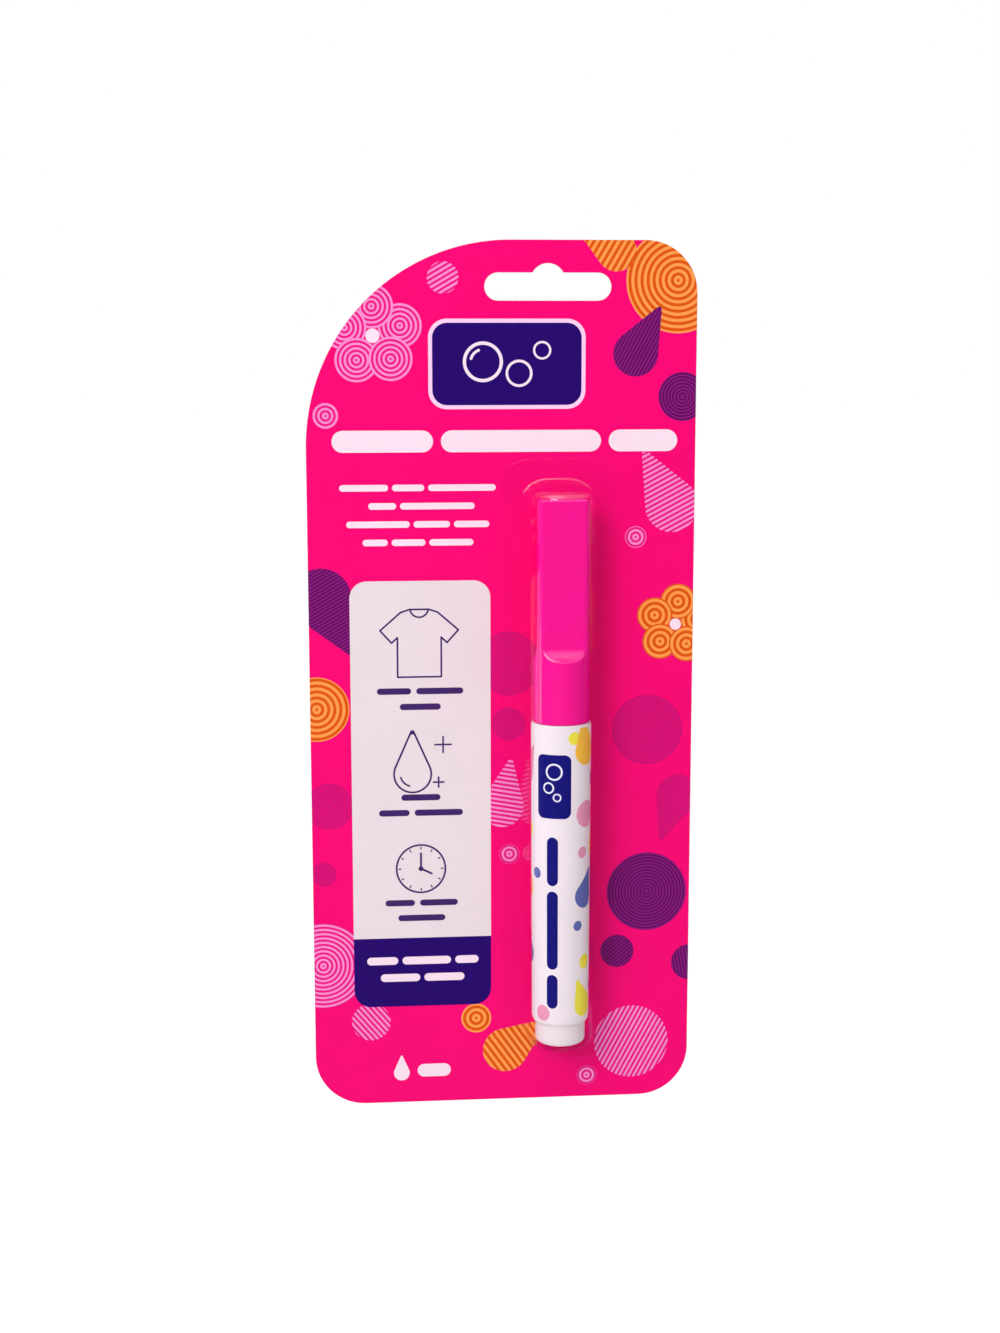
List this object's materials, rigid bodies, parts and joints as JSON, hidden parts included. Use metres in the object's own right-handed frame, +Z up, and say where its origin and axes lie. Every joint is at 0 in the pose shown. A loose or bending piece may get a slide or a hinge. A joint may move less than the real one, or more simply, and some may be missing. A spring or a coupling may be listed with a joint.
{
  "type": "carded press-tip stain remover pen",
  "caption": "Press-tip stain remover pen with a three-flatted pull-off cap, held in a clear peelable blister on a hanging card; spring valve behind a fibre nib.",
  "frame": {"origin": "where a peg bears at the top of the hang slot, on the card's back face", "axes": "+X across the card to the right as seen from the front, +Y out of the card's back, +Z up the card; the pack's front faces -Y"},
  "size_m": [0.09, 0.0155, 0.204],
  "materials": {
    "card": "coated board, printed on the front",
    "clear_sheet": "clear thermoformed sheet",
    "barrel": "moulded, satin",
    "label": "printed film",
    "tail": "moulded, satin",
    "holder": "moulded",
    "seat": "soft",
    "valve_plastic": "natural",
    "spring_steel": "drawn wire",
    "fibre": "bonded fibre",
    "cap": "moulded, glossy",
    "inner_cap": "natural"
  },
  "bodies": {
    "card": {"backing_card": "card"},
    "blister": {"blister_shell": "clear_sheet"},
    "pen": {"barrel": "barrel", "barrel_label": "label", "tail_plug": "tail", "nib_holder": "holder", "valve_seat": "seat", "valve_cage": "valve_plastic", "valve_spring": "spring_steel"},
    "cap": {"cap": "cap", "inner_cap": "inner_cap"},
    "tip": {"nib": "fibre", "valve_stem": "valve_plastic"}
  },
  "joints": [
    {"name": "blister_peel", "type": "hinge", "parent": "card", "child": "blister", "pos_m": [0.0025, -0.00082, -0.189], "axis": [1, 0, 0], "range_deg": [0, 110]},
    {"name": "pen_lift", "type": "slide", "parent": "card", "child": "pen", "axis": [0, -1, 0], "range_m": [0, 0.0235]},
    {"name": "cap_pull", "type": "slide", "parent": "pen", "child": "cap", "axis": [0, 0, 1], "range_m": [0, 0.0485]},
    {"name": "tip_press", "type": "slide", "parent": "pen", "child": "tip", "axis": [0, 0, -1], "range_m": [0, 0.0016], "stiffness_N_per_m": 200, "deforming": ["valve_spring"]}
  ],
  "couplings": [
    {"joint": "pen_lift", "follows": "blister_peel", "m_per_rad": 0.012},
    {"joint": "cap_pull", "follows": "blister_peel", "m_per_rad": 0.025}
  ]
}
